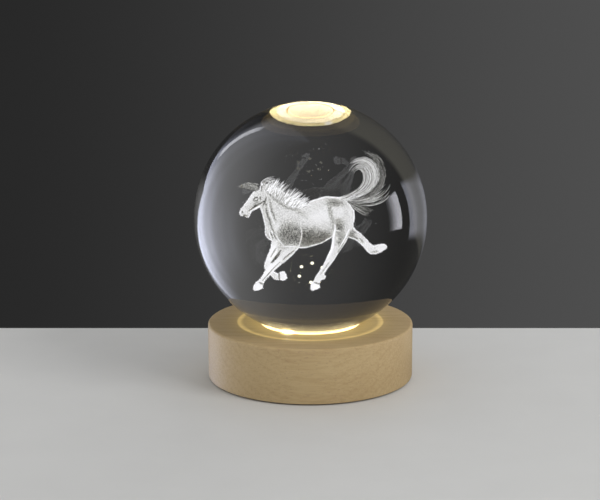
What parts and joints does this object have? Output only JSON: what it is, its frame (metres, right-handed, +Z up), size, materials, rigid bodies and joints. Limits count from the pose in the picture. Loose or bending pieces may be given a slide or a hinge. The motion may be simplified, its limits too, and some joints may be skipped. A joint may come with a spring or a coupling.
{
  "type": "crystal ball lamp",
  "caption": "Clear glass ball with a galloping horse engraved inside, resting in the lit hole of a low round wooden base with LEDs, a rear power inlet and a push button.",
  "frame": {"origin": "middle of the base's underside, on the face that the lamp stands on", "axes": "+Z up through the ball's centre; the engraved horse is seen from the front, -Y, with its head towards -X; inlet and button at the back, +Y"},
  "size_m": [0.08, 0.08, 0.0961],
  "materials": {
    "beech": "satin turned beech with fine grain",
    "clear_silicone": "clear soft silicone",
    "crystal": "polished optical glass",
    "engraving": "white micro-cracks, seen as fine bright dots",
    "board_white": "white solder mask",
    "led_lens": "white package with a yellow phosphor lens",
    "chip_black": "moulded black",
    "screw_steel": "zinc-plated",
    "cover_plastic": "fine-textured black plastic",
    "pad_rubber": "matte foam rubber",
    "nickel": "nickel plated",
    "button_black": "semi-gloss black",
    "wire_red": "red insulation",
    "wire_black": "black insulation"
  },
  "bodies": {
    "base": {"wood_base": "beech", "led_board": "board_white", "led_1": "led_lens", "led_2": "led_lens", "led_3": "led_lens", "led_4": "led_lens", "led_5": "led_lens", "led_6": "led_lens", "resistor_1": "chip_black", "resistor_2": "chip_black", "board_screw_1": "screw_steel", "board_screw_2": "screw_steel", "bottom_cover": "cover_plastic", "cover_screw_1": "screw_steel", "cover_screw_2": "screw_steel", "cover_screw_3": "screw_steel", "foot_pad": "pad_rubber", "inlet_shell": "nickel", "inlet_pin": "nickel", "inlet_nut": "nickel", "button_bezel": "button_black", "switch_body": "chip_black", "wire_inlet_to_switch": "wire_red", "wire_switch_to_board": "wire_red", "wire_inlet_to_board": "wire_black"},
    "seat": {"seat_ring": "clear_silicone"},
    "crystal": {"crystal_ball": "crystal", "engraved_horse": "engraving"},
    "button": {"power_button": "button_black"}
  },
  "joints": [
    {"name": "ball_turn", "type": "hinge", "parent": "base", "child": "seat", "pos_m": [0, 0, 0.0194], "axis": [0, 0, 1], "continuous": true},
    {"name": "ball_lift", "type": "slide", "parent": "seat", "child": "crystal", "axis": [0, 0, 1], "range_m": [0, 0.03]},
    {"name": "button_press", "type": "slide", "parent": "base", "child": "button", "axis": [-0.2588, -0.9659, 0], "range_m": [0, 0.0015], "stiffness_N_per_m": 400, "springref_m": -0.002}
  ]
}
